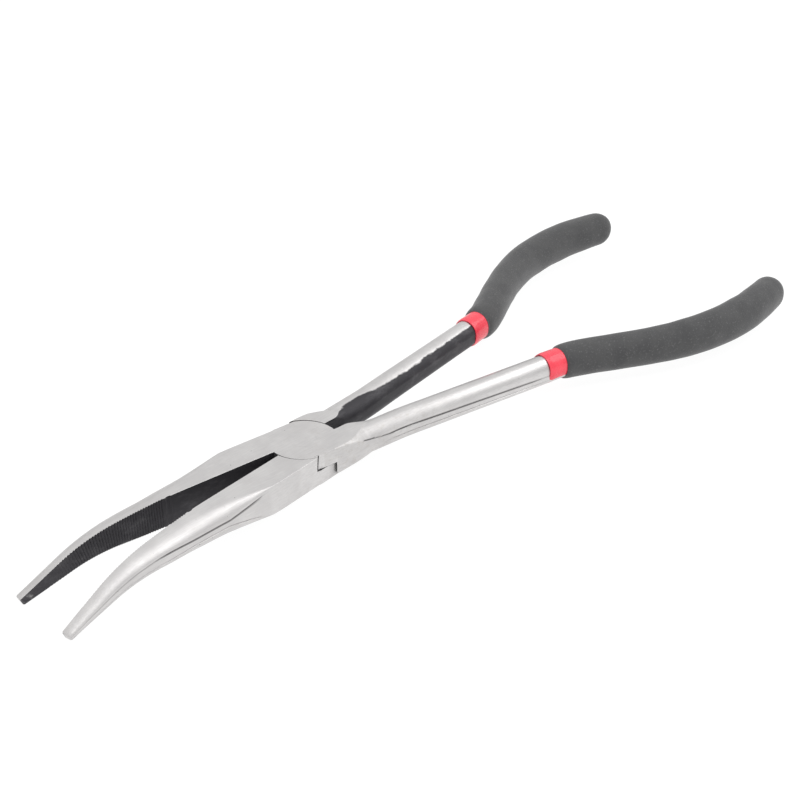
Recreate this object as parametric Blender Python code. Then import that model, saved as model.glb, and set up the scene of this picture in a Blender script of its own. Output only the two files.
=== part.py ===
"""Long-reach needle nose pliers with bent jaws: two forged halves on one rivet, a sleeve and a grip on each tang.

Frame: +X runs to the jaw tips, +Y to the side of the upper half's handle, and +Z up along the pivot.
The origin is where the pivot axis meets the joint's lower ground face.
Each half is drawn with the jaws shut, where y is the distance from the middle plane, and then turned open.
"""

import bmesh
import bpy
import numpy as np
from math import cos, pi, radians, sin, sqrt, tan
from mathutils import Matrix, Vector

MM = 0.001

# Joint, in millimetres.
JOINT_THICKNESS = 9.4
JOINT_RADIUS = 10.27
JOINT_SIDE_CUT = 0.67
LAP_GAP = 0.15
RIVET_RADIUS = 3.0
RIVET_HEAD_FLARE = 0.7
RIVET_HEAD_DEPTH = 0.7
RIVET_CLEARANCE = 0.06
REST_OPENING_DEGREES = 11.47

# Jaws.
JAW_REACH = 90.0
JAW_SIDE_STEP = 0.1
JAW_MIDDLE_WIDTH = 4.2
JAW_TIP_WIDTH = 2.8
JAW_TIP_HEIGHT = 2.2
JAW_HEIGHT_TAPER_LENGTH = 44.0
JAW_ROOT_LENGTH = 22.0
JAW_HEIGHT_TAPER_POWER = 1.27
JAW_BEND_LENGTH = 18.0
JAW_STRAIGHT_TIP_LENGTH = 11.5
JAW_BEND_DEGREES = 22.9
JAW_ROUND_START = 23.0
JAW_ROUND_HEIGHT_LENGTH = 15.0
JAW_ROUND_WIDTH_LENGTH = 29.0
JAW_FACE_GAP = 0.05
JAW_EDGE = 0.15
OUTER_EDGE = 0.4
FLAT_STRIP = 0.24
BAR_TOP_FLAT = 0.05
GROOVE_PLACE = 45.0
GROOVE_RADIUS = 0.9
GROOVE_DEPTH = 0.5

# Shoulder, shank and tang.
SHOULDER_FACE_GAP = 1.0
SHOULDER_LENGTH = 1.73
SHOULDER_NECK_LENGTH = 7.0
SHOULDER_UNDERSIDE_ROUND = 3.0
SHANK_SPLAY_START = 30.0
SHANK_SPLAY_DEGREES = 3.0
SHANK_FACE_GAP = 0.4
SHANK_HALF_WIDTH = 4.0
SHANK_HALF_HEIGHT = 4.45
TANG_END_HALF_WIDTH = 3.0
TANG_END_HALF_HEIGHT = 3.2
TANG_SETBACK = 12.0

# Covers.
SLEEVE_START = 88.1
SLEEVE_WALL = 0.4
GRIP_START = 95.1
GRIP_SIDE_WALL = 0.96
GRIP_TOP_WALL = 0.46
GRIP_SIDE_SWELL = 0.6
GRIP_TOP_SWELL = 1.05
GRIP_TAIL_LENGTH = 6.0
HANDLE_REACH = 191.8
COVER_GAP = 0.12
GRIP_BOW = 15.9
GRIP_TAIL_BOW = 9.4

# Sizes that follow from those above.
LAP = JOINT_THICKNESS / 2
JOINT_HALF_WIDTH = JOINT_RADIUS - JOINT_SIDE_CUT
JAW_ROOT_WIDTH = JOINT_HALF_WIDTH - JAW_SIDE_STEP
JAW_BEND_END = JAW_REACH - JAW_STRAIGHT_TIP_LENGTH
JAW_BEND_START = JAW_BEND_END - JAW_BEND_LENGTH
SHOULDER_END = JOINT_RADIUS + SHOULDER_LENGTH
SHANK_START = SHOULDER_END + SHOULDER_NECK_LENGTH
TANG_END = HANDLE_REACH - TANG_SETBACK
SLEEVE_BORE_GAP = COVER_GAP
SLEEVE_OUTSIDE_GAP = SLEEVE_BORE_GAP + SLEEVE_WALL
GRIP_BORE_GAP = SLEEVE_OUTSIDE_GAP + COVER_GAP

# Facets.
DISC_SIDES = 72
RIVET_SIDES = 32
JAW_STEPS = 4
SHANK_STEPS = 3


def curve(points, x):
    """Height at x on a smooth line through (x, height) points that never overshoots them."""
    xs, ys = np.array(sorted(points)).T
    steps = np.diff(xs)
    rises = np.diff(ys) / steps
    slopes = np.zeros(len(xs))
    slopes[0] = rises[0]
    slopes[-1] = rises[-1]
    for i in range(1, len(xs) - 1):
        if rises[i - 1] * rises[i] > 0:
            slopes[i] = 2 / (1 / rises[i - 1] + 1 / rises[i])
    i = int(np.clip(np.searchsorted(xs, x) - 1, 0, len(steps) - 1))
    t = min(max((x - xs[i]) / steps[i], 0.0), 1.0)
    value = ys[i] + (3 * t ** 2 - 2 * t ** 3) * (ys[i + 1] - ys[i])
    value += steps[i] * ((t - 2 * t ** 2 + t ** 3) * slopes[i] + (t ** 3 - t ** 2) * slopes[i + 1])
    return float(value)


def share(x, start, end):
    """0 before start, 1 after end, and even between them."""
    return min(max((x - start) / (end - start), 0.0), 1.0)


def mix(low, high, part):
    return low + (high - low) * part


def rounded_box(inner, outer, half_height, inner_round, outer_round, under_round, inner_steps, outer_steps):
    """Outline in (across, up) round a box; each round is (across, up), under_round being the lower outer one."""
    corners = (
        (outer, -half_height, 3, under_round, outer_steps),
        (outer, half_height, 0, outer_round, outer_steps),
        (inner, half_height, 1, inner_round, inner_steps),
        (inner, -half_height, 2, inner_round, inner_steps),
    )
    outline = []
    for across, up, quarter, (round_across, round_up), steps in corners:
        centre_across = across - round_across if quarter in (3, 0) else across + round_across
        centre_up = up - round_up if quarter in (0, 1) else up + round_up
        for k in range(steps + 1):
            angle = (quarter + k / steps) * pi / 2
            outline.append((centre_across + round_across * cos(angle), centre_up + round_up * sin(angle)))
    return outline


def add_object(name, mesh):
    bmesh.ops.recalc_face_normals(mesh, faces=mesh.faces)
    data = bpy.data.meshes.new(name)
    mesh.to_mesh(data)
    mesh.free()
    body = bpy.data.objects.new(name, data)
    bpy.context.scene.collection.objects.link(body)
    return body


def loft(name, rings):
    """Closed solid through rings with equal numbers of points, given in millimetres."""
    mesh = bmesh.new()
    rows = [[mesh.verts.new(Vector(point) * MM) for point in ring] for ring in rings]
    count = len(rows[0])
    for row, following in zip(rows, rows[1:]):
        for k in range(count):
            after = (k + 1) % count
            mesh.faces.new((row[k], row[after], following[after], following[k]))
    mesh.faces.new(rows[0])
    mesh.faces.new(rows[-1])
    return add_object(name, mesh)


def turned(name, outline, sides):
    """Solid of revolution about Z from (radius, height) points."""
    turns = [2 * pi * k / sides for k in range(sides)]
    return loft(name, [[(radius * cos(a), radius * sin(a), height) for a in turns] for radius, height in outline])


def combine(body, tool, operation):
    """Bakes one Boolean into body and drops the tool."""
    modifier = body.modifiers.new(operation, "BOOLEAN")
    modifier.operation = operation
    modifier.solver = "EXACT"
    modifier.object = tool
    bpy.context.view_layer.update()
    result = bpy.data.meshes.new_from_object(body.evaluated_get(bpy.context.evaluated_depsgraph_get()))
    body.modifiers.clear()
    body.data = result
    bpy.data.objects.remove(tool)


def jaw_centre(x):
    """Height and slope of the jaw's middle line, measured from the lap plane."""
    slope = tan(radians(JAW_BEND_DEGREES))
    length = JAW_BEND_END - JAW_BEND_START
    bent = min(max(x - JAW_BEND_START, 0.0), length)
    straight = max(x - JAW_BEND_END, 0.0)
    return -slope * (bent ** 2 / (2 * length) + straight), slope * bent / length


def jaw_width_line():
    middle = mix(JAW_ROOT_LENGTH, JAW_REACH, 0.75)
    return ((0.0, JAW_ROOT_WIDTH), (JAW_ROOT_LENGTH, JAW_ROOT_WIDTH), (middle, JAW_MIDDLE_WIDTH),
            (JAW_REACH, JAW_TIP_WIDTH))


def jaw_ring(x, side):
    centre, slope = jaw_centre(x)
    taper = share(x, JAW_REACH - JAW_HEIGHT_TAPER_LENGTH, JAW_REACH) ** JAW_HEIGHT_TAPER_POWER
    half_height = mix(JOINT_THICKNESS, JAW_TIP_HEIGHT, taper) / 2
    width = float(np.interp(x, *zip(*jaw_width_line())))
    full_round_up = half_height * (1 - FLAT_STRIP)
    height_share = share(x, JAW_ROUND_START, JAW_ROUND_START + JAW_ROUND_HEIGHT_LENGTH)
    round_up = mix(OUTER_EDGE, full_round_up, height_share)
    full_round_across = width - JAW_FACE_GAP - 2 * JAW_EDGE
    width_share = share(x, JAW_ROUND_START, JAW_ROUND_START + JAW_ROUND_WIDTH_LENGTH)
    round_across = mix(OUTER_EDGE, full_round_across, width_share)
    outer = (round_across, min(round_up, full_round_up))
    outline = rounded_box(JAW_FACE_GAP, width, half_height, (JAW_EDGE, JAW_EDGE), outer, outer, 1, JAW_STEPS)
    return [(x + up * slope, side * across, LAP + centre + up) for across, up in outline]


def jaw(side):
    """One jaw from inside the joint's disc to its tip."""
    root = sqrt(JOINT_RADIUS ** 2 - JOINT_HALF_WIDTH ** 2) / 2
    stations = [root, JAW_ROOT_LENGTH]
    round_end = JAW_ROUND_START + JAW_ROUND_WIDTH_LENGTH
    stations += list(np.linspace(JAW_ROUND_START, round_end, 9))
    stations += list(np.linspace(round_end, JAW_REACH, 13)[1:])
    body = loft("jaw", [jaw_ring(x, side) for x in stations])
    groove_centre = side * (JAW_FACE_GAP + GROOVE_DEPTH - GROOVE_RADIUS)
    groove = turned("groove", ((GROOVE_RADIUS, -JOINT_THICKNESS), (GROOVE_RADIUS, 2 * JOINT_THICKNESS)), 24)
    groove.data.transform(Matrix.Translation(Vector((GROOVE_PLACE, groove_centre, 0)) * MM))
    combine(body, groove, "DIFFERENCE")
    return body


def handle_line():
    """Points (distance behind the pivot, y) of the handle's middle line."""
    front = SHANK_FACE_GAP + SHANK_HALF_WIDTH
    splay = tan(radians(SHANK_SPLAY_DEGREES))
    shank_end = front + (GRIP_START - SHANK_SPLAY_START) * splay
    grip_length = HANDLE_REACH - GRIP_START
    bow = ((0.05, 0.05), (0.13, 0.22), (0.25, 0.51), (0.35, 0.73), (0.46, 0.905), (0.56, 0.985), (0.64, 1.0),
           (0.75, 0.955), (0.85, 0.84))
    points = [(0.0, front), (SHANK_SPLAY_START, front)]
    points += [(x, front + (x - SHANK_SPLAY_START) * splay) for x in np.linspace(45.0, GRIP_START, 4)]
    points += [(GRIP_START + along * grip_length, shank_end + rise * GRIP_BOW) for along, rise in bow]
    return points + [(HANDLE_REACH, shank_end + GRIP_TAIL_BOW)]


HANDLE_LINE = handle_line()


def handle_frame(x):
    """Middle of the handle at distance x behind the pivot, and the unit direction across it."""
    step = 0.5
    rise = curve(HANDLE_LINE, x + step) - curve(HANDLE_LINE, x - step)
    length = sqrt(rise ** 2 + 4 * step ** 2)
    return (-x, curve(HANDLE_LINE, x)), (rise / length, 2 * step / length)


def handle_ring(x, side, section):
    (middle_x, middle_y), (across_x, across_y) = handle_frame(x)
    return [(middle_x + across * across_x, side * (middle_y + across * across_y), LAP + up)
            for across, up in section]


def tang_half_sizes(x):
    taper = share(x, SLEEVE_START, HANDLE_REACH)
    return (mix(SHANK_HALF_WIDTH, TANG_END_HALF_WIDTH, taper), mix(SHANK_HALF_HEIGHT, TANG_END_HALF_HEIGHT, taper))


def oval(half_width, half_height, strip=FLAT_STRIP):
    """Rounded bar section with a flat strip down each side, a given share of the height."""
    corner = (half_width * (1 - BAR_TOP_FLAT), half_height * (1 - strip))
    return rounded_box(-half_width, half_width, half_height, corner, corner, corner, SHANK_STEPS, SHANK_STEPS)


def bar_section(x):
    """Section of the steel handle: square at the shoulder, rounded from the shank on."""
    half_width, half_height = tang_half_sizes(x)
    rounding = share(x, SHOULDER_END, SHANK_START)
    middle = curve(HANDLE_LINE, x)
    inner = mix(SHOULDER_FACE_GAP - middle, -half_width, rounding)
    outer = mix(JOINT_HALF_WIDTH - middle, half_width, rounding)
    half_height = mix(JOINT_THICKNESS / 2, half_height, rounding)
    full = (half_width * (1 - BAR_TOP_FLAT), half_height * (1 - FLAT_STRIP))
    edge = mix(OUTER_EDGE, SHOULDER_UNDERSIDE_ROUND, share(x, 0.0, SHOULDER_END))
    corner = tuple(mix(OUTER_EDGE, size, rounding) for size in full)
    under = tuple(mix(edge, size, rounding) for size in full)
    return rounded_box(inner, outer, half_height, corner, corner, under, SHANK_STEPS, SHANK_STEPS)


def handle(side):
    """Shoulder, shank and tang of one half."""
    root = sqrt(JOINT_RADIUS ** 2 - JOINT_HALF_WIDTH ** 2) / 2
    stations = [root, SHOULDER_END / 2]
    stations += list(np.linspace(SHOULDER_END, SHANK_START, 5))
    stations += [SHANK_SPLAY_START, 45.0, 65.0]
    stations += shared_stations(SLEEVE_START, TANG_END)
    return loft("handle", [handle_ring(x, side, bar_section(x)) for x in stations])


def shared_stations(start, end):
    """Places along the tang that the steel and both covers share, so their skins stay parallel."""
    inner = np.linspace(GRIP_START, TANG_END, 17)
    return [start] + [x for x in inner if start + 1 < x < end - 1] + [end]


def cover(name, side, start, end, tail, bore_end, bore, outside):
    """Sleeve with one closed end: in along its domed outer skin from the tail, then back in along its bore."""
    rings = []
    for k in range(4):
        angle = (3 - k) * pi / 7
        skin = outside(end, cos(angle))
        rings.append(handle_ring(end + tail * sin(angle), side, skin))
    rings += [handle_ring(x, side, outside(x, 1.0)) for x in reversed(shared_stations(start, end)[:-1])]
    rings += [handle_ring(x, side, bore(x, 1.0)) for x in shared_stations(start, bore_end)]
    return loft(name, rings)


def tang_offset(distance):
    """Section that stands off the steel's own by a distance, and shrinks about its middle by a factor."""
    def section(x, scale):
        half_width, half_height = tang_half_sizes(x)
        return oval((half_width + distance) * scale, (half_height + distance) * scale)
    return section


def grip_skin(x, scale):
    """Oval skin that stands off the front of the tang by its wall and swells towards the palm."""
    along = share(x, GRIP_START, HANDLE_REACH)
    swell = curve(((0.0, 0.0), (0.06, 0.25), (0.25, 0.4), (0.5, 0.8), (0.7, 1.0), (0.85, 0.8), (1.0, 0.2)), along)
    half_width = SHANK_HALF_WIDTH + GRIP_BORE_GAP + GRIP_SIDE_WALL + GRIP_SIDE_SWELL * swell
    half_height = SHANK_HALF_HEIGHT + GRIP_BORE_GAP + GRIP_TOP_WALL + GRIP_TOP_SWELL * swell
    return oval(half_width * scale, half_height * scale, BAR_TOP_FLAT)


def disc(upper):
    """Half-thickness plate of the lap: a circle with its two sides ground flat."""
    bottom, top = (LAP + LAP_GAP / 2, JOINT_THICKNESS) if upper else (0.0, LAP - LAP_GAP / 2)
    plate = turned("disc", ((JOINT_RADIUS, bottom), (JOINT_RADIUS, top)), DISC_SIDES)
    for vertex in plate.data.vertices:
        limit = JOINT_HALF_WIDTH * MM
        vertex.co.y = min(max(vertex.co.y, -limit), limit)
    return plate


def rivet_outline(clearance, overrun):
    """(radius, height) points of the rivet, or of its hole when clearance and overrun are given."""
    shaft = RIVET_RADIUS + clearance
    head = RIVET_RADIUS + RIVET_HEAD_FLARE + clearance + overrun
    depth = RIVET_HEAD_DEPTH
    return ((head, -overrun), (shaft, depth), (shaft, JOINT_THICKNESS - depth), (head, JOINT_THICKNESS + overrun))


def forged_half(name, upper):
    """Jaw on one side, lap plate in the middle, and handle on the other side."""
    side = 1 if upper else -1
    body = jaw(-side)
    combine(body, handle(side), "UNION")
    overrun = 1.0
    reach = (-overrun, LAP + LAP_GAP / 2) if upper else (LAP - LAP_GAP / 2, JOINT_THICKNESS + overrun)
    seat_radius = JOINT_RADIUS + LAP_GAP
    combine(body, turned("seat", [(seat_radius, height) for height in reach], DISC_SIDES), "DIFFERENCE")
    combine(body, disc(upper), "UNION")
    combine(body, turned("hole", rivet_outline(RIVET_CLEARANCE, overrun), RIVET_SIDES), "DIFFERENCE")
    body.name = name
    body.data.name = name
    return body


def open_up(body, upper):
    """Turns a body of one half from the shut pose to the rest pose about the pivot."""
    turn = REST_OPENING_DEGREES / 2 * (-1 if upper else 1)
    body.data.transform(Matrix.Rotation(radians(turn), 4, "Z"))


def material(name, colour, roughness, metallic):
    made = bpy.data.materials.new(name)
    made.use_nodes = True
    shader = made.node_tree.nodes["Principled BSDF"]
    shader.inputs["Base Color"].default_value = (*colour, 1.0)
    shader.inputs["Roughness"].default_value = roughness
    shader.inputs["Metallic"].default_value = metallic
    return made


def finish(body, look):
    body.data.materials.clear()
    body.data.materials.append(look)
    body.data.shade_smooth()
    body.data.set_sharp_from_angle(angle=radians(35))


def build():
    for old in list(bpy.data.objects):
        bpy.data.objects.remove(old)
    steel = material("ground steel", (0.62, 0.61, 0.61), 0.35, 1.0)
    red = material("red vinyl", (0.86, 0.06, 0.10), 0.3, 0.0)
    grey = material("dark grey foam", (0.10, 0.10, 0.105), 0.85, 0.0)
    for label, upper in (("upper", True), ("lower", False)):
        side = 1 if upper else -1
        half = forged_half(f"{label}_half", upper)
        sleeve_end = TANG_END + SLEEVE_BORE_GAP
        sleeve = cover(f"{label}_sleeve", side, SLEEVE_START, sleeve_end, SLEEVE_WALL,
                       sleeve_end, tang_offset(SLEEVE_BORE_GAP), tang_offset(SLEEVE_OUTSIDE_GAP))
        grip = cover(f"{label}_grip", side, GRIP_START, HANDLE_REACH - GRIP_TAIL_LENGTH, GRIP_TAIL_LENGTH,
                     TANG_END + GRIP_BORE_GAP, tang_offset(GRIP_BORE_GAP), grip_skin)
        for body, look in ((half, steel), (sleeve, red), (grip, grey)):
            open_up(body, upper)
            finish(body, look)
    rivet = turned("rivet", rivet_outline(0.0, 0.0), RIVET_SIDES)
    finish(rivet, steel)


build()
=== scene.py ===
"""Looks of the long-reach needle nose pliers: fine steel halves, dipped sleeves, foam grips, studio and camera.

Sizes are in millimetres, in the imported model's frame: +X to the jaw tips, +Z up the pivot, origin on the
joint's lower face. Each half is drawn with the jaws shut, where y is the distance from the middle plane, and
is then turned open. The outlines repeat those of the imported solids, and the fine shape is added to them. A profile
below is a tuple of (x, value) points, with x forward of the pivot for a jaw and behind it for a handle.
"""

from math import cos, pi, radians, sin, sqrt, tan

import bmesh
import bpy
import numpy as np
from mathutils import Matrix, Vector, noise


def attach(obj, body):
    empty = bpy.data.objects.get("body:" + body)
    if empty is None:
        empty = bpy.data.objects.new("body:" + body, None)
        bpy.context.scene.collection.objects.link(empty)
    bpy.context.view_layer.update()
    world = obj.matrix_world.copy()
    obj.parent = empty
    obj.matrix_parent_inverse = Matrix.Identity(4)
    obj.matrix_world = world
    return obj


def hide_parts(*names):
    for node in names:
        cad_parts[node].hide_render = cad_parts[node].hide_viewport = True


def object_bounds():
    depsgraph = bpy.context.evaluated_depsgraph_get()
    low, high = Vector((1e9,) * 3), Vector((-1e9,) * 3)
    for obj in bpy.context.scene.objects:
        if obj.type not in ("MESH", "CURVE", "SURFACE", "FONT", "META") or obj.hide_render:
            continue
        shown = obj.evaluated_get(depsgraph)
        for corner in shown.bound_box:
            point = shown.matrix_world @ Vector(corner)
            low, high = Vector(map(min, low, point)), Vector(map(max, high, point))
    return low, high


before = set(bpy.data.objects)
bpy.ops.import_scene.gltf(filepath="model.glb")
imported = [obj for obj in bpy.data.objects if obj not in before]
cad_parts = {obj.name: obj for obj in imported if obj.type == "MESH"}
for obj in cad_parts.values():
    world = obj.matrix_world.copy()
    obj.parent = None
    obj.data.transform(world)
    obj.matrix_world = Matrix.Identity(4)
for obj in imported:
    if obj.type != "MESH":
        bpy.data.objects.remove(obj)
CAD_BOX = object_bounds()

MM = 0.001

# Joint.
JOINT_THICKNESS = 9.4
LAP = JOINT_THICKNESS / 2
JOINT_RADIUS = 10.27
JOINT_HALF_WIDTH = 9.6
HIDDEN_ROOT = sqrt(JOINT_RADIUS ** 2 - JOINT_HALF_WIDTH ** 2) / 2
LAP_GAP = 0.26
FACE_GAP = 0.06
DISC_EDGE = 0.03
SEAT_SHIFT = (0.05, 0.19)
CUT_OVERRUN = 1.0
JAW_RELIEF = ((3.6, 9.9), (5.0, 9.9), (4.8, 9.3), (5.4, 8.9), (5.0, 8.7), (4.0, 9.3))
DISC_NOTCH = ((1.25, 10.5), (3.2, 10.5), (2.9, 9.0), (1.75, 9.2))
DISC_NOTCH_FOOT = ((2.0, 10.5), (3.2, 10.5), (2.9, 9.0), (2.2, 9.35))
RIVET_RADIUS = 3.0
RIVET_HEAD_RADIUS = 3.7
RIVET_HEAD_DEPTH = 0.7
RIVET_CLEARANCE = 0.015
REST_OPENING_DEGREES = 11.47

# Jaws.
JAW_REACH = 90.0
JAW_ROOT_LENGTH = 22.0
JAW_ROOT_WIDTH = 9.5
JAW_MIDDLE_WIDTH = 4.2
JAW_TIP_WIDTH = 2.8
JAW_TIP_HEIGHT = 2.2
JAW_HEIGHT_TAPER_LENGTH = 44.0
JAW_HEIGHT_TAPER_POWER = 1.27
JAW_BEND_START = 60.5
JAW_BEND_END = 78.5
JAW_BEND_DEGREES = 22.9
JAW_SAG = ((0.0, 0.0), (38.0, 0.0), (55.0, 0.32), (68.0, 0.62), (76.0, 0.62), (84.0, 0.3), (90.0, 0.03))
JAW_ROUND_START = 23.0
JAW_ROUND_HEIGHT_LENGTH = 15.0
JAW_ROUND_HEIGHT_POWER = 0.85
JAW_ROUND_WIDTH_LENGTH = 29.0
JAW_WIDTH_EASE = 4.0
JAW_FACE_GAP = 0.05
JAW_EDGE = 0.1
OUTER_EDGE = 0.14
GROOVE_START = 44.1
GROOVE_END = 45.9
GROOVE_DEPTH = 0.3
TEETH_START = 46.6
TEETH_END = 82.2
TOOTH_PITCH = 0.8
TOOTH_DEPTH = 0.28
TOOTH_FADE = 0.7
TOOTH_FADE_LENGTH = 10.0
TIP_BLUNTING = 0.3
TIP_SHRINK = 0.84
JAW_TIP_STRIP = 0.36
JAW_CREASE = 0.26
LOWER_CREASE_SHADE_SHARE = 0.35

# Shoulder, shank and tang.
SHOULDER_FACE_GAP = 1.0
SHOULDER_END = 12.0
SHOULDER_UNDERSIDE_ROUND = 3.0
SHOULDER_INNER_ROUND = 3.3
TOP_LINE = ((0.0, 4.7), (12.0, 4.7), (16.0, 4.67), (19.0, 4.5), (23.0, 4.0), (27.0, 3.2), (33.0, 2.2), (40.0, 1.4))
WALL_LINE = ((0.0, 4.5), (6.0, 4.4), (11.0, 3.9), (14.0, 3.1), (16.0, 2.4), (20.0, 1.5), (24.0, 1.0), (28.0, 0.85),
             (34.0, 0.7), (40.0, 0.6))
CROWN_LINE = ((0.0, 0.12), (6.0, 0.3), (11.0, 1.2), (13.5, 2.2), (16.0, 3.2), (20.0, 4.8), (28.0, 6.5), (40.0, 7.0))
FLOOR_LINE = ((0.0, -4.7), (12.0, -4.7), (15.0, -4.6), (19.0, -4.2), (24.0, -3.2), (28.0, -2.2), (40.0, -1.2))
BLOCK_END = 40.0
BLOCK_SINK = 0.5
WALL_CREASE = 0.12
WALL_CREASE_BAND = 0.25
WALL_CREASE_SHADE_END = 34.0
LOWER_SCALE_SPREAD = 0.36
SHANK_START = 19.0
SHANK_FACE_GAP = 0.4
SHANK_SPLAY_START = 30.0
SHANK_SPLAY_DEGREES = 3.0
SHANK_HALF_WIDTH = 4.0
SHANK_HALF_HEIGHT = 4.45
CROWN_FLATNESS = 0.6
BAR_NOSE = 14.2
NOSE_SCALES = ((0.0, 0.3), (0.3, 0.6), (0.8, 0.8), (1.4, 0.91), (2.1, 0.975), (3.0, 1.0))
BAR_CREASE = 0.24
BAR_TOP_FLAT = 0.05
BAR_INNER_FLATNESS = 0.25
FLAT_STRIP = 0.24
STRIP_TAPER = (28.0, 88.0)
STRIP_LOW = (-1.5, -2.4)
STRIP_HIGH = (1.15, -0.5)
TANG_END_HALF_WIDTH = 3.0
TANG_END_HALF_HEIGHT = 3.2
TANG_END = 179.8

# Covers.
SLEEVE_START = 88.1
SLEEVE_GAP = 0.03
SLEEVE_WALL = 0.5
GRIP_START = 95.1
GRIP_SIDE_OFFSET = 1.52
GRIP_TOP_OFFSET = 1.02
GRIP_SIDE_SWELL = 0.6
GRIP_TOP_SWELL = 1.05
GRIP_BORE_GAP = 0.58
GRIP_TAIL_LENGTH = 6.0
GRIP_LIP = 1.1
GRIP_LIP_LENGTH = 3.5
GRIP_INNER_SHARE = 0.91
GRIP_SWELL = ((0.0, 0.0), (0.06, 0.25), (0.25, 0.4), (0.5, 0.8), (0.7, 1.0), (0.85, 0.8), (1.0, 0.2))
TAIL_BLUNTNESS = 0.75
TAIL_RINGS = 9
HANDLE_REACH = 191.7
DROOP_START = 30.0
UPPER_HANDLE_DROOP = 0.5
LOWER_HANDLE_DROOP = 0.1
GRIP_BOW = 15.9
GRIP_BOW_LINE = ((0.05, 0.05), (0.13, 0.22), (0.25, 0.51), (0.35, 0.73), (0.46, 0.905), (0.56, 0.985), (0.64, 1.0),
                 (0.75, 0.955), (0.85, 0.84))
GRIP_TAIL_BOW = 9.4

# Studio. Places and sizes of lights and floor are in metres.
CAMERA_TURN, CAMERA_ELEVATION, CAMERA_ROLL = 133.886, 30.657, 0.599
CAMERA_PLACE = (241.8, 270.57, 237.27)
CAMERA_LENS = 67.713
HORIZON_STRENGTH = 0.62
OVERHEAD_STRENGTH = 0.98
OVERHEAD_HEIGHT = 0.5
LIGHT_TARGET = (-0.05, 0.0, 0.0)
FLOOR_GLOW = 0.92
FLOOR_HALF_SIZE = 30.0


def curve(points, x):
    """Height at x on a smooth line through (x, height) points that never overshoots them."""
    xs, ys = np.array(sorted(points)).T
    steps = np.diff(xs)
    rises = np.diff(ys) / steps
    slopes = np.zeros(len(xs))
    slopes[0] = rises[0]
    slopes[-1] = rises[-1]
    for i in range(1, len(xs) - 1):
        if rises[i - 1] * rises[i] > 0:
            slopes[i] = 2 / (1 / rises[i - 1] + 1 / rises[i])
    i = int(np.clip(np.searchsorted(xs, x) - 1, 0, len(steps) - 1))
    t = min(max((x - xs[i]) / steps[i], 0.0), 1.0)
    value = ys[i] + (3 * t ** 2 - 2 * t ** 3) * (ys[i + 1] - ys[i])
    value += steps[i] * ((t - 2 * t ** 2 + t ** 3) * slopes[i] + (t ** 3 - t ** 2) * slopes[i + 1])
    return float(value)


def share(x, start, end):
    """0 before start, 1 after end, and even between them."""
    return min(max((x - start) / (end - start), 0.0), 1.0)


def ease(x, start, end):
    """As share, but leaving and arriving softly."""
    t = share(x, start, end)
    return t * t * (3 - 2 * t)


def mix(low, high, part):
    return low + (high - low) * part


def arc(centre, radii, quarter, steps):
    """Quarter ellipse; quarter 0 runs from the outer side to the top, 1 on to the inner side, and so round."""
    points = []
    for k in range(steps + 1):
        angle = (quarter + k / steps) * pi / 2
        points.append((centre[0] + radii[0] * cos(angle), centre[1] + radii[1] * sin(angle)))
    return points


def flattened(points, amount):
    """Points of an arc drawn part of the way in towards its chord."""
    (start_a, start_u), (end_a, end_u) = points[0], points[-1]
    parts = [k / (len(points) - 1) for k in range(len(points))]
    chord = [(mix(start_a, end_a, part), mix(start_u, end_u, part)) for part in parts]
    return [(mix(a, c, amount), mix(u, v, amount)) for (a, u), (c, v) in zip(points, chord)]


# Meshes.

def new_object(name, mesh):
    bmesh.ops.recalc_face_normals(mesh, faces=mesh.faces)
    data = bpy.data.meshes.new(name)
    mesh.to_mesh(data)
    mesh.free()
    body = bpy.data.objects.new(name, data)
    bpy.context.scene.collection.objects.link(body)
    return body


def loft(name, rings):
    """Closed solid through rings with equal numbers of points, given in millimetres."""
    mesh = bmesh.new()
    rows = [[mesh.verts.new(Vector(point) * MM) for point in ring] for ring in rings]
    count = len(rows[0])
    for row, following in zip(rows, rows[1:]):
        for k in range(count):
            after = (k + 1) % count
            mesh.faces.new((row[k], row[after], following[after], following[k]))
    mesh.faces.new(rows[0])
    mesh.faces.new(rows[-1])
    return new_object(name, mesh)


def turned(name, outline, sides):
    """Solid of revolution about Z from (radius, height) points."""
    turns = [2 * pi * k / sides for k in range(sides)]
    return loft(name, [[(radius * cos(a), radius * sin(a), height) for a in turns] for radius, height in outline])


def combine(body, tool, operation):
    """Bakes one Boolean into body and drops the tool."""
    modifier = body.modifiers.new(operation, "BOOLEAN")
    modifier.operation = operation
    modifier.solver = "EXACT"
    modifier.object = tool
    bpy.context.view_layer.update()
    result = bpy.data.meshes.new_from_object(body.evaluated_get(bpy.context.evaluated_depsgraph_get()))
    body.modifiers.clear()
    body.data = result
    bpy.data.objects.remove(tool)


# Jaws.

def jaw_centre(x):
    """Height and slope of the jaw's middle line, measured from the lap plane."""
    slope = tan(radians(JAW_BEND_DEGREES))
    length = JAW_BEND_END - JAW_BEND_START
    bent = min(max(x - JAW_BEND_START, 0.0), length)
    straight = max(x - JAW_BEND_END, 0.0)
    step = 0.25
    sag_slope = (curve(JAW_SAG, x + step) - curve(JAW_SAG, x - step)) / (2 * step)
    drop = slope * (bent ** 2 / (2 * length) + straight) + curve(JAW_SAG, x)
    return -drop, slope * bent / length + sag_slope


def bite(x):
    """Depth cut into the gripping face at x: the cross groove, then the teeth, fading towards the tip."""
    if GROOVE_START < x < GROOVE_END:
        return GROOVE_DEPTH * sin(pi * share(x, GROOVE_START, GROOVE_END)) ** 0.5
    if TEETH_START < x < TEETH_END:
        phase = (x - TEETH_START) / TOOTH_PITCH % 1.0
        fade = 1.0 - TOOTH_FADE * share(x, TEETH_END - TOOTH_FADE_LENGTH, TEETH_END)
        return TOOTH_DEPTH * fade * (1 - abs(2 * phase - 1))
    return 0.0


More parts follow.
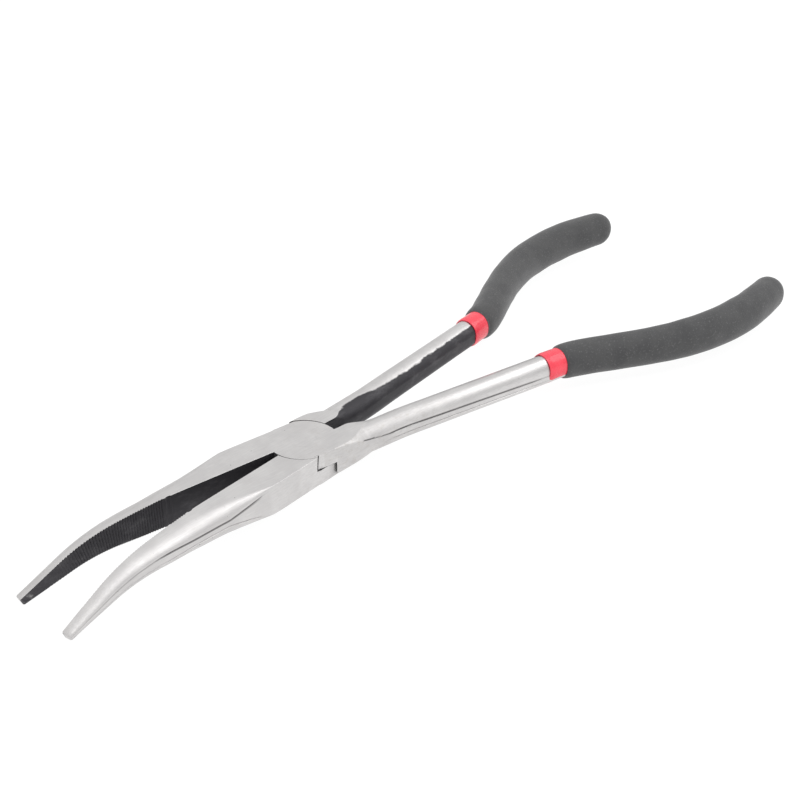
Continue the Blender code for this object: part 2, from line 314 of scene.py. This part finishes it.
def jaw_width(x):
    """Width of a jaw at x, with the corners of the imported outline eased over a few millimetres."""
    middle = mix(JAW_ROOT_LENGTH, JAW_REACH, 0.75)
    places = np.linspace(x - JAW_WIDTH_EASE, x + JAW_WIDTH_EASE, 9)
    widths = np.interp(places, (0.0, JAW_ROOT_LENGTH, middle, JAW_REACH),
                       (JAW_ROOT_WIDTH, JAW_ROOT_WIDTH, JAW_MIDDLE_WIDTH, JAW_TIP_WIDTH))
    return float(np.mean(widths))


def jaw_half_height(x):
    taper = share(x, JAW_REACH - JAW_HEIGHT_TAPER_LENGTH, JAW_REACH) ** JAW_HEIGHT_TAPER_POWER
    return mix(JOINT_THICKNESS, JAW_TIP_HEIGHT, taper) / 2


def crease_inset(low, high):
    """How far inside a side strip's edges its creases run."""
    return min(0.11 * (high - low), 0.22)


def side_strip(outer, low, high, crease):
    """Flat strip up a bar's outer side, with a forging crease at each edge."""
    lip = crease_inset(low, high)
    margin = 0.15 * (high - low - 4 * lip)
    lower = [(outer - crease, low + lip), (outer, low + 2 * lip), (outer, low + 2 * lip + margin)]
    upper = [(outer, high - 2 * lip - margin), (outer, high - 2 * lip), (outer - crease, high - lip)]
    return lower + upper


def jaw_strip(x):
    """Lower and upper edge of the flat strip up the outside of a jaw, from its middle line."""
    half = jaw_half_height(x)
    strip = mix(FLAT_STRIP, JAW_TIP_STRIP, ease(x, 48.0, 60.0)) * half
    height_share = share(x, JAW_ROUND_START, JAW_ROUND_START + JAW_ROUND_HEIGHT_LENGTH) ** JAW_ROUND_HEIGHT_POWER
    edge = half - min(mix(OUTER_EDGE, half - strip, height_share), half - strip)
    return -edge, edge


def jaw_crease(x):
    """Share of the full crease depth at x: sharp along the straight part, softer past the bend."""
    return ease(x, 24.0, 31.0) * (1 - 0.6 * ease(x, 58.0, 64.0)) * (1 - 0.5 * ease(x, 84.0, 90.0))


def jaw_ring(x, side, shrink=1.0):
    """Section of a jaw: flat gripping face, rounded back, and a flat strip between two forging creases."""
    centre, slope = jaw_centre(x)
    half = jaw_half_height(x)
    width = jaw_width(x)
    low, high = jaw_strip(x)
    width_share = share(x, JAW_ROUND_START, JAW_ROUND_START + JAW_ROUND_WIDTH_LENGTH)
    up = half - high
    across = mix(OUTER_EDGE, width - JAW_FACE_GAP - 2 * JAW_EDGE, width_share)
    inner = JAW_FACE_GAP + bite(x)
    outline = arc((width - across, -half + up), (across, up), 3, 12)
    outline += side_strip(width, low, high, JAW_CREASE * jaw_crease(x))
    outline += arc((width - across, half - up), (across, up), 0, 18)
    outline += [(inner + JAW_EDGE, half), (inner, half - JAW_EDGE)]
    outline += [(inner, -half + JAW_EDGE), (inner + JAW_EDGE, -half)]
    middle = (width + JAW_FACE_GAP) / 2
    shrunk = [(middle + (a - middle) * shrink, u * shrink) for a, u in outline]
    return [(x + u * slope, side * a, LAP + centre + u) for a, u in shrunk]


def jaw(side):
    """One jaw from inside the joint's disc to its tip."""
    stations = [HIDDEN_ROOT, 8.0, 14.0] + list(np.linspace(17.0, JAW_ROUND_START, 7))
    stations += list(np.linspace(JAW_ROUND_START, GROOVE_START, 21)[1:])
    stations += list(np.linspace(GROOVE_START, GROOVE_END, 9)[1:])
    stations += list(np.arange(TEETH_START, TEETH_END + 0.01, TOOTH_PITCH / 2))
    stations += list(np.linspace(TEETH_END + 0.6, JAW_REACH - TIP_BLUNTING, 7))
    return loft("jaw", [jaw_ring(x, side) for x in stations] + [jaw_ring(JAW_REACH, side, TIP_SHRINK)])


# Handles.

def handle_line():
    """Points (distance behind the pivot, y) of the handle's middle line."""
    front = SHANK_FACE_GAP + SHANK_HALF_WIDTH
    splay = tan(radians(SHANK_SPLAY_DEGREES))
    shank_end = front + (GRIP_START - SHANK_SPLAY_START) * splay
    grip_length = HANDLE_REACH - GRIP_START
    points = [(0.0, front), (SHANK_SPLAY_START, front)]
    points += [(x, front + (x - SHANK_SPLAY_START) * splay) for x in np.linspace(45.0, GRIP_START, 4)]
    points += [(GRIP_START + along * grip_length, shank_end + rise * GRIP_BOW) for along, rise in GRIP_BOW_LINE]
    return points + [(HANDLE_REACH, shank_end + GRIP_TAIL_BOW)]


HANDLE_LINE = handle_line()


def handle_frame(x):
    """Middle of the handle at distance x behind the pivot, and the unit direction across it."""
    step = 0.5
    rise = curve(HANDLE_LINE, x + step) - curve(HANDLE_LINE, x - step)
    length = sqrt(rise ** 2 + 4 * step ** 2)
    return (-x, curve(HANDLE_LINE, x)), (rise / length, 2 * step / length)


def handle_droop(x, side):
    """How far a handle's middle line lies below the lap plane at distance x behind the pivot."""
    return (UPPER_HANDLE_DROOP if side > 0 else LOWER_HANDLE_DROOP) * ease(x, DROOP_START, GRIP_START)


def handle_ring(x, side, section):
    (middle_x, middle_y), (across_x, across_y) = handle_frame(x)
    level = LAP - handle_droop(x, side)
    return [(middle_x + across * across_x, side * (middle_y + across * across_y), level + up)
            for across, up in section]


def tang_half_sizes(x):
    taper = share(x, SLEEVE_START, HANDLE_REACH)
    return (mix(SHANK_HALF_WIDTH, TANG_END_HALF_WIDTH, taper), mix(SHANK_HALF_HEIGHT, TANG_END_HALF_HEIGHT, taper))


def strip_edges(x):
    """Lower and upper edge of the flat strip along the outer side of the bar."""
    taper = share(x, *STRIP_TAPER)
    return mix(*STRIP_LOW, taper), mix(*STRIP_HIGH, taper)


def bar_crease(x):
    """Share of the full crease depth at distance x behind the pivot."""
    return ease(x, 22.0, 28.0) * (1 - 0.7 * ease(x, 74.0, 88.0))


def bar_section(x, scale=1.0):
    """Section of the round steel bar, with a flat strip and a forging crease down its outer side."""
    half_width, half_height = tang_half_sizes(x)
    low, high = strip_edges(x)
    round_across = half_width * (1 - BAR_TOP_FLAT)
    inner_strip = FLAT_STRIP * half_height
    outline = arc((half_width - round_across, low), (round_across, half_height + low), 3, 12)
    outline += side_strip(half_width, low, high, BAR_CREASE * bar_crease(x))
    outline += arc((half_width - round_across, high), (round_across, half_height - high), 0, 16)
    inner_top = arc((round_across - half_width, inner_strip), (round_across, half_height - inner_strip), 1, 14)
    outline += flattened(inner_top, BAR_INNER_FLATNESS)
    outline += arc((round_across - half_width, -inner_strip), (round_across, half_height - inner_strip), 2, 12)
    return [(across * scale, up * scale) for across, up in outline]


def bar(side):
    """Round part of the handle, from its blunt nose on the shoulder to the end of the tang."""
    rings = []
    for along, scale in NOSE_SCALES:
        rings.append(handle_ring(BAR_NOSE + along, side, bar_section(BAR_NOSE + along, scale)))
    stations = list(np.linspace(18.5, 34.0, 13)) + list(np.linspace(38.0, GRIP_START, 13))
    stations += list(np.linspace(GRIP_START, TANG_END, 40)[1:])
    return loft("bar", rings + [handle_ring(x, side, bar_section(x)) for x in stations])


def crown(outer, wall_top, top, across, steps=10):
    """Unground slope between a block's outer wall and its top, rounder than a plain chamfer."""
    return flattened(arc((outer - across, wall_top), (across, top - wall_top), 0, steps), CROWN_FLATNESS)


def shoulder(side):
    """Square block behind the joint, sinking into the round bar as it runs back."""
    rings = []
    for x in [HIDDEN_ROOT, 3.0, 5.0, 8.0, 10.5] + list(np.linspace(SHOULDER_END, BLOCK_END, 36)):
        middle = curve(HANDLE_LINE, x)
        rounding = share(x, SHOULDER_END, SHANK_START)
        sink = BLOCK_SINK * ease(x, 29.0, BLOCK_END)
        inner = mix(SHOULDER_FACE_GAP - middle, -SHANK_HALF_WIDTH - 0.03, rounding) + sink
        outer = mix(JOINT_HALF_WIDTH - middle, SHANK_HALF_WIDTH + 0.05, rounding) - sink
        top = curve(TOP_LINE, x)
        floor = curve(FLOOR_LINE, x)
        wall_top = curve(WALL_LINE, x)
        under = mix(OUTER_EDGE, SHOULDER_UNDERSIDE_ROUND, share(x, 0.0, SHOULDER_END))
        under = min(under, 0.8 * (wall_top - floor))
        edge = min(mix(OUTER_EDGE, SHOULDER_INNER_ROUND, ease(x, 14.0, 21.0)), 0.42 * (top - floor))
        outline = arc((outer - under, floor + under), (under, under), 3, 8)
        outline.append((outer, wall_top - WALL_CREASE_BAND))
        notch = WALL_CREASE * ease(x, BAR_NOSE, BAR_NOSE + 2.0)
        outline += crown(outer - notch, wall_top, top, min(curve(CROWN_LINE, x), outer - inner - edge - 0.3))
        outline += arc((inner + edge, top - edge), (edge, edge), 1, 6)
        outline += arc((inner + edge, floor + edge), (edge, edge), 2, 6)
        rings.append(handle_ring(x, side, outline))
    return loft("shoulder", rings)


# Joint.

def disc(upper):
    """Half-thickness plate of the lap: a circle with its two sides ground flat."""
    bottom, top = (LAP + FACE_GAP / 2, JOINT_THICKNESS) if upper else (0.0, LAP - FACE_GAP / 2)
    edge = JOINT_RADIUS - DISC_EDGE
    outline = ((edge, bottom), (JOINT_RADIUS, bottom + DISC_EDGE), (JOINT_RADIUS, top - DISC_EDGE), (edge, top))
    plate = turned("disc", outline, 180)
    for vertex in plate.data.vertices:
        limit = JOINT_HALF_WIDTH * MM
        vertex.co.y = min(max(vertex.co.y, -limit), limit)
    return plate


def relief(side, reach, corners):
    """Upright wedge on one side, through (x, y) corners at each height, that opens a gap or cuts a notch."""
    rings = [[(x, side * y, height) for x, y in ring] for height, ring in zip(reach, corners)]
    return loft("relief", rings)


def rivet_outline(clearance, overrun):
    """(radius, height) points of the rivet, or of its hole when clearance and overrun are given."""
    shaft = RIVET_RADIUS + clearance
    head = RIVET_HEAD_RADIUS + clearance + overrun
    depth = RIVET_HEAD_DEPTH
    return ((head, -overrun), (shaft, depth), (shaft, JOINT_THICKNESS - depth), (head, JOINT_THICKNESS + overrun))


def forged_half(name, upper):
    """Jaw on one side, lap plate in the middle, and handle on the other side."""
    side = 1 if upper else -1
    body = jaw(-side)
    steel_bar = shoulder(side)
    combine(steel_bar, bar(side), "UNION")
    combine(body, steel_bar, "UNION")
    below, above = -CUT_OVERRUN, JOINT_THICKNESS + CUT_OVERRUN
    reach = (below, LAP + FACE_GAP / 2) if upper else (LAP - FACE_GAP / 2, above)
    seat_radius = JOINT_RADIUS + LAP_GAP
    seat = turned("seat", [(seat_radius, height) for height in reach], 180)
    seat.data.transform(Matrix.Translation(Vector((SEAT_SHIFT[0], side * SEAT_SHIFT[1], 0)) * MM))
    combine(body, seat, "DIFFERENCE")
    combine(body, relief(-side, reach, (JAW_RELIEF, JAW_RELIEF)), "DIFFERENCE")
    plate = disc(upper)
    notches = (DISC_NOTCH_FOOT, DISC_NOTCH) if upper else (DISC_NOTCH, DISC_NOTCH_FOOT)
    notch_reach = (LAP, above) if upper else (below, LAP)
    combine(plate, relief(side, notch_reach, notches), "DIFFERENCE")
    combine(body, plate, "UNION")
    combine(body, turned("hole", rivet_outline(RIVET_CLEARANCE, CUT_OVERRUN), 96), "DIFFERENCE")
    body.name = name
    body.data.name = name
    return body


# Covers.

def cover(name, side, start, end, tail, bore_end, bore, outside, step):
    """Sleeve with one closed end: in along its domed outer skin from the tail, then back in along its bore."""
    rings = []
    for k in range(TAIL_RINGS):
        angle = (TAIL_RINGS - k) * pi / (2 * TAIL_RINGS + 2)
        rings.append(handle_ring(end + tail * sin(angle), side, outside(end, cos(angle) ** TAIL_BLUNTNESS)))
    outer = np.linspace(end, start, max(int((end - start) / step), 2))
    rings += [handle_ring(x, side, outside(x, 1.0)) for x in outer]
    inner = np.linspace(start, bore_end, max(int((bore_end - start) / step), 2))
    rings += [handle_ring(x, side, bore(x)) for x in inner]
    return loft(name, rings)


def oval(half_width, half_height, flat=0.05, steps=16):
    outline = []
    across = half_width * (1 - flat)
    up = half_height * (1 - flat)
    for quarter, sign_across, sign_up in ((3, 1, -1), (0, 1, 1), (1, -1, 1), (2, -1, -1)):
        centre = (sign_across * (half_width - across), sign_up * (half_height - up))
        outline += arc(centre, (across, up), quarter, steps)
    return outline


def tang_skin(distance):
    """Section that stands off the steel's own by a distance, and shrinks about its middle by a factor."""
    def section(x, scale=1.0):
        half_width, half_height = tang_half_sizes(x)
        outline = oval(half_width + distance, half_height + distance)
        return [(across * scale, up * scale) for across, up in outline]
    return section


def sleeve_skin(x, scale):
    """Outside of the sleeve, with its front edge rolled in."""
    distance = SLEEVE_GAP + SLEEVE_WALL * sqrt(1 - (1 - share(x, SLEEVE_START - 0.08, SLEEVE_START + 0.5)) ** 2)
    return tang_skin(distance)(x, scale)


def grip_skin(x, scale):
    """Outside of the grip: a soft lip at its front, then a slow swell towards the palm."""
    along = share(x, GRIP_START, HANDLE_REACH)
    swell = curve(GRIP_SWELL, along)
    lip = GRIP_LIP * (1 - sqrt(1 - (1 - share(x, GRIP_START - 0.1, GRIP_START + GRIP_LIP_LENGTH)) ** 3))
    half_width = SHANK_HALF_WIDTH + GRIP_SIDE_OFFSET + GRIP_SIDE_SWELL * swell - lip
    half_height = SHANK_HALF_HEIGHT + GRIP_TOP_OFFSET + GRIP_TOP_SWELL * swell - 0.6 * lip
    skin = []
    for across, up in oval(half_width, half_height):
        thinner = 1.0 if across > 0 else GRIP_INNER_SHARE
        skin.append((across * thinner * scale, up * scale))
    return skin


def roughen(body, size, amount):
    """Moves each point a little along its normal by smooth noise, so a moulded skin isn't perfectly even."""
    for vertex in body.data.vertices:
        vertex.co += vertex.normal * noise.noise(vertex.co / (size * MM)) * amount * MM


# Attributes that tell the materials what each point of the steel is.

def jaw_place(x, z):
    """Station along a jaw's middle line and height above it, for a point in the jaw's own frame."""
    station = x
    for _ in range(4):
        centre, slope = jaw_centre(station)
        up = z - LAP - centre
        station = x - up * slope
    return station, up


def oxide_at(x, y, z, inwards, side):
    """How far a point lies on the dark side of a half: above about 0.55 it keeps its black scale."""
    if x > 0:
        station, up = jaw_place(x, z)
        outwards = -side * y
        on_face = station > 9.0 and outwards < 0.7 and abs(up) < jaw_half_height(station) - JAW_EDGE / 2
        return mix(1.3, 0.62, ease(station, 76.0, 88.0)) if on_face else -1.0
    if -x < JOINT_RADIUS:
        return -1.0
    if side < 0:
        inwards += LOWER_SCALE_SPREAD * (ease(-x, 14.0, 18.0) - ease(-x, 26.0, 44.0))
    return inwards


def crease_shade_at(x, y, z, side):
    """Depth share of the forging crease that a point lies in, or 0 away from one; it sets how dark the crease's
    painted shade is drawn.
    """
    if x > 0:
        station, up = jaw_place(x, z)
        low, high = jaw_strip(station)
        depth = jaw_crease(station) if -side * y > jaw_width(station) - 2 * JAW_CREASE else 0.0
    else:
        low, high = strip_edges(-x)
        up = z - LAP + handle_droop(-x, side)
        (middle_x, middle_y), (across_x, across_y) = handle_frame(-x)
        outwards = (side * y - middle_y) / across_y
        on_side = outwards > tang_half_sizes(-x)[0] - 2 * BAR_CREASE
        wall = abs(up - curve(WALL_LINE, -x)) / WALL_CREASE_BAND
        # Painted shade along the top of the outer wall, under the bar's nose and the crown.
        if on_side and BAR_NOSE < -x < WALL_CREASE_SHADE_END and wall < 0.9:
            return ease(-x, BAR_NOSE, BAR_NOSE + 1.0) * (1 - wall)
        depth = bar_crease(-x) if on_side else 0.0
    inset = crease_inset(low, high)
    upper = abs(up - high + inset) / inset
    lower = abs(up - low - inset) / inset
    if upper < 1.3:
        return depth * (1 - 0.4 * upper)
    return LOWER_CREASE_SHADE_SHARE * depth * (1 - 0.4 * lower) if lower < 1.3 else 0.0


def paint(body, side):
    """Stores the oxide, forged skin, crease (the strength of the painted crease shade) and flatness of each point of
    a half.
    """
    mesh = body.data
    oxide = mesh.attributes.new("oxide", "FLOAT", "POINT")
    forged = mesh.attributes.new("forged", "FLOAT", "POINT")
    crease = mesh.attributes.new("crease", "FLOAT", "POINT")
    flatness = mesh.attributes.new("flatness", "FLOAT", "POINT")
    for vertex in mesh.vertices:
        x, y, z = vertex.co / MM
        oxide.data[vertex.index].value = oxide_at(x, y, z, -side * vertex.normal.y, side)
        forged.data[vertex.index].value = (1 - ease(-x, 24.0, 70.0)) if x < 0 else 0.4
        crease.data[vertex.index].value = crease_shade_at(x, y, z, side)
        flatness.data[vertex.index].value = share(abs(vertex.normal.z), 0.9, 0.99)


def blacken_gaps(body, gap_scale_and_shade, upper):
    """Gives the faces inside the joint's gaps, which no grinding wheel reaches, the dark material: their black
    scale, and painted shade that stands in for the shadow down the thin gaps.
    """
    body.data.materials.append(gap_scale_and_shade)
    for face in body.data.polygons:
        x, y, z = face.center / MM
        radius = sqrt(x ** 2 + y ** 2)
        upright = abs(face.normal.z) < 0.3 and abs(radius - JOINT_RADIUS) < 0.6
        own_layer = (z > LAP) == upper
        ground_side = abs(y) > JAW_ROOT_WIDTH - 0.2 and abs(face.normal.y) > 0.97
        ground_side = ground_side or own_layer and abs(y) > JAW_ROOT_WIDTH - 0.02
        lap = radius < JOINT_RADIUS and abs(z - LAP) < 0.2
        # Painted shade as well as scale: the gap walls turn near black so the thin gaps read as dark lines.
        if upright and not ground_side or lap:
            face.material_index = 1


def open_up(body, upper):
    """Turns a body of one half from the shut pose to the rest pose about the pivot."""
    turn = REST_OPENING_DEGREES / 2 * (-1 if upper else 1)
    body.data.transform(Matrix.Rotation(radians(turn), 4, "Z"))


def smooth(body, angle):
    body.data.shade_smooth()
    body.data.set_sharp_from_angle(angle=radians(angle))
    weighted = body.modifiers.new("weighted normals", "WEIGHTED_NORMAL")
    weighted.weight = 100
    weighted.keep_sharp = True


# Materials.

class Nodes:
    """Short names for building one material's node tree."""

    def __init__(self, name):
        self.material = bpy.data.materials.new(name)
        self.material.use_nodes = True
        self.tree = self.material.node_tree
        self.shader = self.tree.nodes["Principled BSDF"]
        self.place = self.tree.nodes.new("ShaderNodeTexCoord").outputs["Object"]

    def link(self, value, socket):
        if isinstance(value, bpy.types.NodeSocket):
            self.tree.links.new(value, socket)
        elif isinstance(value, tuple):
            socket.default_value = (*value, 1.0)[:len(socket.default_value)]
        else:
            socket.default_value = value

    def math(self, operation, first, second):
        node = self.tree.nodes.new("ShaderNodeMath")
        node.operation = operation
        for value, socket in zip((first, second), node.inputs):
            self.link(value, socket)
        return node.outputs[0]

    def ramp(self, value, start, end, low=0.0, high=1.0):
        node = self.tree.nodes.new("ShaderNodeMapRange")
        node.interpolation_type = "SMOOTHSTEP"
        for number, socket in zip((value, start, end, low, high), node.inputs):
            self.link(number, socket)
        return node.outputs[0]

    def noise(self, scale, stretch=(1, 1, 1), turn=(0, 0, 0), detail=2.0, roughness=0.5):
        mapping = self.tree.nodes.new("ShaderNodeMapping")
        mapping.inputs["Rotation"].default_value = [radians(angle) for angle in turn]
        mapping.inputs["Scale"].default_value = [scale * size for size in stretch]
        self.link(self.place, mapping.inputs["Vector"])
        node = self.tree.nodes.new("ShaderNodeTexNoise")
        self.link(mapping.outputs[0], node.inputs["Vector"])
        node.inputs["Scale"].default_value = 1.0
        node.inputs["Detail"].default_value = detail
        node.inputs["Roughness"].default_value = roughness
        return node.outputs[0]

    def blend(self, share_of_second, first, second):
        node = self.tree.nodes.new("ShaderNodeMix")
        colours = isinstance(first, tuple) or getattr(first, "type", "") == "RGBA"
        node.data_type = "RGBA" if colours else "FLOAT"
        offset = 6 if colours else 2
        self.link(share_of_second, node.inputs[0])
        self.link(first, node.inputs[offset])
        self.link(second, node.inputs[offset + 1])
        return node.outputs[2 if colours else 0]

    def attribute(self, name):
        node = self.tree.nodes.new("ShaderNodeAttribute")
        node.attribute_name = name
        return node.outputs["Fac"]

    def bump(self, height, depth, strength, under=None):
        """Bump whose height runs over 0 to 1 and is depth millimetres deep."""
        node = self.tree.nodes.new("ShaderNodeBump")
        node.inputs["Strength"].default_value = strength
        node.inputs["Distance"].default_value = depth * MM
        self.link(height, node.inputs["Height"])
        if under is not None:
            self.link(under, node.inputs["Normal"])
        return node.outputs[0]

    def set(self, **values):
        for name, value in values.items():
            self.link(value, self.shader.inputs[name.replace("_", " ").title()])
        return self.material


def steel_material():
    """Brushed tool steel, with black scale left on the gripping faces and the inner sides of the shanks, and painted
    shade darkening its forging creases.
    """
    n = Nodes("ground steel")
    flat = n.attribute("flatness")
    along = n.noise(180, (1, 22, 22), detail=3)
    crosswise = n.noise(150, (1.5, 24, 24), turn=(0, 0, -55), detail=3)
    streaks = n.blend(flat, along, crosswise)
    clouds = n.noise(110, detail=4, roughness=0.6)
    grain = n.noise(2200, detail=2)
    bright = n.blend(n.ramp(clouds, 0.35, 0.65), (0.61, 0.597, 0.594), (0.67, 0.658, 0.652))
    bright = n.blend(n.ramp(streaks, 0.35, 0.7, 0.0, 0.35), bright, (0.52, 0.51, 0.51))
    pits = n.ramp(n.noise(1100, detail=1), 0.79, 0.82)
    bright = n.blend(n.math("MULTIPLY", pits, 0.6), bright, (0.16, 0.15, 0.15))
    stains = n.ramp(n.noise(700, detail=4, roughness=0.7), 0.5, 0.7)
    unground = n.math("MULTIPLY", n.attribute("forged"), n.math("SUBTRACT", 1.0, flat))
    stained = n.math("MULTIPLY", n.math("MULTIPLY", stains, unground), 0.35)
    bright = n.blend(stained, bright, (0.50, 0.47, 0.43))
    # Painted shade: the crease attribute darkens the forging creases towards near black, standing in for the shadow
    # inside them.
    crease_shade = n.ramp(n.attribute("crease"), 0.05, 0.8, 0.0, 0.9)
    bright = n.blend(crease_shade, bright, (0.12, 0.115, 0.115))

    blotches = n.noise(420, (0.5, 1, 1), detail=5, roughness=0.65)
    ragged = n.math("MULTIPLY", n.math("SUBTRACT", blotches, 0.5), 0.35)
    mask = n.ramp(n.math("ADD", n.attribute("oxide"), ragged), 0.52, 0.62)
    worn = n.ramp(n.noise(300, (0.4, 1, 1), detail=5, roughness=0.7), 0.45, 0.75)
    dark = n.blend(worn, (0.030, 0.028, 0.033), (0.075, 0.072, 0.078))

    colour = n.blend(mask, bright, dark)
    polished = n.math("ADD", 0.30, n.math("MULTIPLY", streaks, 0.16))
    polished = n.math("ADD", polished, n.math("MULTIPLY", unground, 0.24))
    rough = n.blend(mask, polished, 0.5)
    metal = n.ramp(mask, 0.0, 1.0, 1.0, 0.35)
    fine = n.bump(streaks, 0.006, 0.5)
    normal = n.bump(grain, 0.006, 0.5, fine)
    return n.set(base_color=colour, roughness=rough, metallic=metal, normal=normal)


def gap_scale_and_shade_material():
    """Black heat scale in the joint's narrow gaps, darkened also as painted shade for the shadow inside them."""
    n = Nodes("black scale and gap shade")
    colour = n.blend(n.noise(500, detail=3), (0.020, 0.019, 0.022), (0.05, 0.048, 0.05))
    return n.set(base_color=colour, roughness=0.7)


def vinyl_material():
    n = Nodes("red vinyl")
    clouds = n.noise(160, detail=3)
    colour = n.blend(n.ramp(clouds, 0.3, 0.7), (0.78, 0.030, 0.060), (0.90, 0.055, 0.090))
    rough = n.ramp(n.noise(700, detail=3), 0.3, 0.7, 0.22, 0.32)
    normal = n.bump(n.noise(380, detail=2), 0.03, 0.35)
    return n.set(base_color=colour, roughness=rough, normal=normal, coat_weight=0.25, coat_roughness=0.12)


def foam_material():
    n = Nodes("dark grey foam")
    clouds = n.noise(140, detail=4, roughness=0.6)
    colour = n.blend(n.ramp(clouds, 0.3, 0.7), (0.050, 0.050, 0.052), (0.066, 0.066, 0.067))
    cells = n.noise(1700, detail=3, roughness=0.6)
    specks = n.ramp(cells, 0.55, 0.75)
    colour = n.blend(n.math("MULTIPLY", specks, 0.6), colour, (0.16, 0.16, 0.16))
    skin = n.bump(cells, 0.12, 0.8)
    return n.set(base_color=colour, roughness=0.78, normal=skin, sheen_weight=0.35, sheen_roughness=0.4,
                 sheen_tint=(0.8, 0.8, 0.8))


def floor_material():
    """Lit from below like a light table, so that shadows all but vanish."""
    n = Nodes("pale floor")
    return n.set(base_color=(0.12, 0.12, 0.12), roughness=0.9,
                 emission_color=(1.0, 1.0, 1.0), emission_strength=FLOOR_GLOW)


# Studio.

def softbox(name, place, size, power):
    light = bpy.data.lights.new(name, "AREA")
    light.shape = "RECTANGLE"
    light.size, light.size_y = size
    light.energy = power
    body = bpy.data.objects.new(name, light)
    body.location = place
    body.rotation_euler = (Vector(LIGHT_TARGET) - Vector(place)).to_track_quat("-Z", "Y").to_euler()
    bpy.context.scene.collection.objects.link(body)


def camera():
    """Camera at the photograph's turn, height, roll and distance, on the side of the jaw tips."""
    azimuth, elevation, roll = radians(CAMERA_TURN), radians(CAMERA_ELEVATION), radians(CAMERA_ROLL)
    back = Vector((sin(azimuth) * cos(elevation), -cos(azimuth) * cos(elevation), sin(elevation)))
    level = Vector((cos(azimuth), sin(azimuth), 0.0))
    upright = back.cross(level)
    right = cos(roll) * level + sin(roll) * upright
    up = -sin(roll) * level + cos(roll) * upright
    data = bpy.data.cameras.new("camera")
    data.lens = CAMERA_LENS
    data.sensor_width = 36.0
    data.clip_start = 0.01
    data.clip_end = 50.0
    body = bpy.data.objects.new("camera", data)
    bpy.context.scene.collection.objects.link(body)
    placed = Matrix((right, up, back)).transposed().to_4x4()
    placed.translation = Vector(CAMERA_PLACE) * MM
    body.matrix_world = placed
    bpy.context.scene.camera = body


def studio(lowest):
    """White surroundings, two soft lights and a pale floor at the given height."""
    scene = bpy.context.scene
    scene.view_settings.view_transform = "Standard"
    world = bpy.data.worlds.new("studio")
    scene.world = world
    world.use_nodes = True
    background = world.node_tree.nodes["Background"]
    background.inputs["Color"].default_value = (1.0, 1.0, 1.0, 1.0)
    direction = world.node_tree.nodes.new("ShaderNodeTexCoord").outputs["Generated"]
    split = world.node_tree.nodes.new("ShaderNodeSeparateXYZ")
    fade = world.node_tree.nodes.new("ShaderNodeMapRange")
    world.node_tree.links.new(direction, split.inputs[0])
    world.node_tree.links.new(split.outputs["Z"], fade.inputs["Value"])
    for socket, value in (("From Min", 0.0), ("From Max", OVERHEAD_HEIGHT),
                          ("To Min", HORIZON_STRENGTH), ("To Max", OVERHEAD_STRENGTH)):
        fade.inputs[socket].default_value = value
    world.node_tree.links.new(fade.outputs[0], background.inputs["Strength"])
    softbox("key light", (-0.75, 0.42, 0.75), (0.75, 0.60), 2.2)
    softbox("top light", (-0.02, 0.22, 0.95), (0.80, 0.50), 1.7)
    mesh = bmesh.new()
    bmesh.ops.create_grid(mesh, x_segments=8, y_segments=8, size=FLOOR_HALF_SIZE)
    floor = new_object("floor", mesh)
    floor.data.materials.append(floor_material())
    floor.location.z = lowest


def build():
    steel = steel_material()
    gap_scale_and_shade = gap_scale_and_shade_material()
    red = vinyl_material()
    grey = foam_material()
    for label, upper in (("upper", True), ("lower", False)):
        side = 1 if upper else -1
        half = forged_half(f"{label}_half_steel", upper)
        paint(half, side)
        sleeve = cover(f"{label}_sleeve_vinyl", side, SLEEVE_START, TANG_END + SLEEVE_GAP, SLEEVE_WALL,
                       TANG_END + SLEEVE_GAP, tang_skin(SLEEVE_GAP), sleeve_skin, 1.0)
        grip = cover(f"{label}_grip_foam", side, GRIP_START, HANDLE_REACH - GRIP_TAIL_LENGTH, GRIP_TAIL_LENGTH,
                     TANG_END + GRIP_BORE_GAP, tang_skin(GRIP_BORE_GAP), grip_skin, 0.8)
        roughen(sleeve, 3.0, 0.03)
        roughen(grip, 7.0, 0.14)
        pieces = ((half, "half", "ground_steel", steel, 30), (sleeve, "sleeve", "red_vinyl", red, 50),
                  (grip, "grip", "grey_foam", grey, 50))
        for piece, node, slot, look, angle in pieces:
            piece.data.materials.clear()
            piece.data.materials.append(look)
            if piece is half:
                blacken_gaps(half, gap_scale_and_shade, upper)
            open_up(piece, upper)
            smooth(piece, angle)
            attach(piece, label)
            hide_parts(f"{label}_{node}")
    rivet = turned("rivet_steel", rivet_outline(0.0, 0.0), 96)
    rivet.data.materials.append(steel)
    smooth(rivet, 30)
    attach(rivet, "lower")
    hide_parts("rivet")


build()
camera()
studio(CAD_BOX[0][2])
